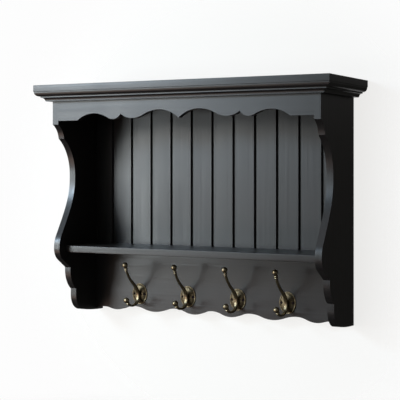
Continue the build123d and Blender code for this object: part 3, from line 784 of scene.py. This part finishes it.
soft_box("back_soft_box", place=(-1.0, 2.6, 2.2), aim=(0, 0, -0.2), size=(2.0, 1.2),
         brightness=3.0, tint=(1.0, 1.0, 1.0))

# %% [markdown]
# The world is white where the camera, a reflection or glass looks at it, and gives only a dim even light to
# everything else. Light Path tells these rays apart.

# %% White surroundings
even_light = 0.1
world = bpy.data.worlds.new("white_surroundings")
bpy.context.scene.world = world
world.use_nodes = True
sky = world.node_tree
sky.nodes.clear()
seen = add_node(sky, "ShaderNodeLightPath")
seen_or_mirrored = add_node(sky, "ShaderNodeMath", {
    0: seen.outputs["Is Camera Ray"], 1: seen.outputs["Is Glossy Ray"]}, operation="MAXIMUM")
any_view = add_node(sky, "ShaderNodeMath", {
    0: seen_or_mirrored.outputs[0], 1: seen.outputs["Is Transmission Ray"]}, operation="MAXIMUM")
white = add_node(sky, "ShaderNodeBackground", {"Color": hex_colour("fdfdfd"), "Strength": 1.0})
dim = add_node(sky, "ShaderNodeBackground", {"Color": hex_colour("ffffff"), "Strength": even_light})
mixed = add_node(sky, "ShaderNodeMixShader", {
    "Fac": any_view.outputs[0], 1: dim.outputs[0], 2: white.outputs[0]})
sky_out = sky.nodes.new("ShaderNodeOutputWorld")
sky.links.new(mixed.outputs[0], sky_out.inputs["Surface"])
print("world", world.name)

# %% [markdown]
# A photographer sets dark cloth around a glossy dark piece, out of the picture, so that only the soft boxes
# show in it. These flags do the same: they are hidden from the camera, cast no shadow, and show only in
# reflections. Their cloth is not lit by the lamps: it glows faintly by itself, and this glow stands in for
# the dim light of the room on real cloth. The one at the right is a paler grey, so that the side doesn't turn
# into a black shape when it is looked at squarely. The upright ones stand along the sides of the room, and
# one lies on the floor.

# %% Flags
room_left = -4.2
room_right = 3.2
room_front = -4.2
room_back = 2.2
room_low = -4
room_high = 5
front_reach = 6
left_flag_end = 1.0
back_flag_start = 0.1
floor_flag_height = -1.24


# The cloth is an emission that glows faintly by itself, in place of room light falling on it.
def flag_cloth(name, tone):
    cloth, tree = new_finish(name)
    use_surface(tree, add_node(tree, "ShaderNodeEmission", {"Color": hex_colour(tone)}))
    return cloth


dark_cloth = flag_cloth("dark_flag_cloth", "343432")
grey_cloth = flag_cloth("grey_flag_cloth", "929290")


def flag(name, cloth_finish, corners):
    mesh = bpy.data.meshes.new(name)
    mesh.from_pydata(corners, [], [(0, 1, 2, 3)])
    mesh.materials.append(cloth_finish)
    cloth = bpy.data.objects.new(name, mesh)
    bpy.context.scene.collection.objects.link(cloth)
    cloth.visible_camera = False
    cloth.visible_diffuse = False
    cloth.visible_shadow = False


def upright(start, end):
    """Corners of a flag that stands between two points of the room's plan."""
    return [(*start, room_low), (*end, room_low), (*end, room_high), (*start, room_high)]


flag("front_flag", dark_cloth, upright((-front_reach, room_front), (front_reach, room_front)))
flag("right_flag", grey_cloth, upright((room_right, room_front), (room_right, room_back)))
flag("back_right_flag", dark_cloth, upright((back_flag_start, room_back), (room_right, room_back)))
flag("left_flag", dark_cloth, upright((room_left, room_front), (room_left, left_flag_end)))
flag("floor_flag", dark_cloth, [
    (room_left, room_front, floor_flag_height), (room_right, room_front, floor_flag_height),
    (room_right, room_back, floor_flag_height), (room_left, room_back, floor_flag_height)])

# %% [markdown]
# The pale floor lies below the shelf and fades into the white. For the camera most of its white is its own,
# and the rest is matt paint that takes the light and the shadow. From below it is clear, so that the
# underside of the shelf can be looked at too.

# %% The pale floor
floor_height = -1.25
floor_fade_start = 1.2
floor_fade_end = 2.6
floor_own_white = 0.72
floor_reach = 2.7
floor_finish, floor_tree = new_finish("pale_floor")
floor_place = add_node(floor_tree, "ShaderNodeTexCoord").outputs["Object"]
from_middle = add_node(floor_tree, "ShaderNodeVectorMath", {0: floor_place}, operation="LENGTH")
fade = add_node(floor_tree, "ShaderNodeMapRange", {
    "Value": from_middle.outputs["Value"], "From Min": floor_fade_start, "From Max": floor_fade_end},
    interpolation_type="SMOOTHSTEP")
floor_back = add_node(floor_tree, "ShaderNodeNewGeometry").outputs["Backfacing"]
floor_clear = add_node(floor_tree, "ShaderNodeMath", {
    0: fade.outputs[0], 1: floor_back}, operation="MAXIMUM")
floor_seen = add_node(floor_tree, "ShaderNodeLightPath").outputs["Is Camera Ray"]
floor_white = add_node(floor_tree, "ShaderNodeEmission", {"Color": hex_colour("fbfaf8"), "Strength": 1.0})
matt_white = add_node(floor_tree, "ShaderNodeBsdfDiffuse", {"Color": hex_colour("f4f3f1")})
mostly_white = add_node(floor_tree, "ShaderNodeMath", {
    0: floor_seen, 1: floor_own_white}, operation="MULTIPLY")
pale = add_node(floor_tree, "ShaderNodeMixShader", {
    "Fac": mostly_white.outputs[0], 1: matt_white.outputs[0], 2: floor_white.outputs[0]})
clear = add_node(floor_tree, "ShaderNodeBsdfTransparent")
use_surface(floor_tree, add_node(floor_tree, "ShaderNodeMixShader", {
    "Fac": floor_clear.outputs[0], 1: pale.outputs[0], 2: clear.outputs[0]}))
floor_mesh = bpy.data.meshes.new("pale_floor")
floor_mesh.from_pydata(
    [(-floor_reach, -floor_reach, 0), (floor_reach, -floor_reach, 0), (floor_reach, floor_reach, 0),
     (-floor_reach, floor_reach, 0)], [], [(0, 1, 2, 3)])
floor_mesh.materials.append(floor_finish)
floor = bpy.data.objects.new("pale_floor", floor_mesh)
floor.location = (0, -0.1, floor_height)
bpy.context.scene.collection.objects.link(floor)
print("floor at", list(floor.location))

# %% [markdown]
# The shelf hangs on a white wall, which shows as no more than a soft shadow to its right and below it. Only
# the camera sees this wall. Most of its white is its own, so the shadow stays faint, and the rest is matt
# paint that the soft boxes light. It fades out towards its edges, soonest at the right, and its back is
# clear, so that the back of the shelf can be looked at too.

# %% The wall behind the shelf
wall_fade_start = 0.46
wall_fade_end = 0.8
right_fade_start = 0.36
right_fade_end = 0.58
wall_paint_share = 0.18
wall_reach = 0.85
wall_finish, wall_tree = new_finish("white_wall")
wall_place = add_node(wall_tree, "ShaderNodeTexCoord").outputs["Object"]
from_shelf = add_node(wall_tree, "ShaderNodeVectorMath", {0: wall_place}, operation="LENGTH")
wall_fade = add_node(wall_tree, "ShaderNodeMapRange", {
    "Value": from_shelf.outputs["Value"], "From Min": wall_fade_start, "From Max": wall_fade_end},
    interpolation_type="SMOOTHSTEP")
wall_across = add_node(wall_tree, "ShaderNodeSeparateXYZ", {"Vector": wall_place})
right_fade = add_node(wall_tree, "ShaderNodeMapRange", {
    "Value": wall_across.outputs["X"], "From Min": right_fade_start, "From Max": right_fade_end})
wall_back = add_node(wall_tree, "ShaderNodeNewGeometry").outputs["Backfacing"]
faded = add_node(wall_tree, "ShaderNodeMath", {
    0: wall_fade.outputs[0], 1: right_fade.outputs[0]}, operation="MAXIMUM")
see_through = add_node(wall_tree, "ShaderNodeMath", {
    0: faded.outputs[0], 1: wall_back}, operation="MAXIMUM")
own_white = add_node(wall_tree, "ShaderNodeEmission", {"Color": hex_colour("fdfcfa"), "Strength": 1.0})
matt_paint = add_node(wall_tree, "ShaderNodeBsdfDiffuse", {"Color": hex_colour("f4f3f0")})
faint = add_node(wall_tree, "ShaderNodeMixShader", {
    "Fac": wall_paint_share, 1: own_white.outputs[0], 2: matt_paint.outputs[0]})
wall_clear = add_node(wall_tree, "ShaderNodeBsdfTransparent")
use_surface(wall_tree, add_node(wall_tree, "ShaderNodeMixShader", {
    "Fac": see_through.outputs[0], 1: faint.outputs[0], 2: wall_clear.outputs[0]}))
wall_mesh = bpy.data.meshes.new("white_wall")
wall_mesh.from_pydata(
    [(-wall_reach, 0, -wall_reach), (wall_reach, 0, -wall_reach), (wall_reach, 0, wall_reach),
     (-wall_reach, 0, wall_reach)], [], [(0, 1, 2, 3)])
wall_mesh.materials.append(wall_finish)
wall = bpy.data.objects.new("white_wall", wall_mesh)
wall.location = (0.05, 0.002, -0.3)
wall.visible_diffuse = False
wall.visible_glossy = False
wall.visible_transmission = False
wall.visible_shadow = False
bpy.context.scene.collection.objects.link(wall)
print("wall at", list(wall.location))
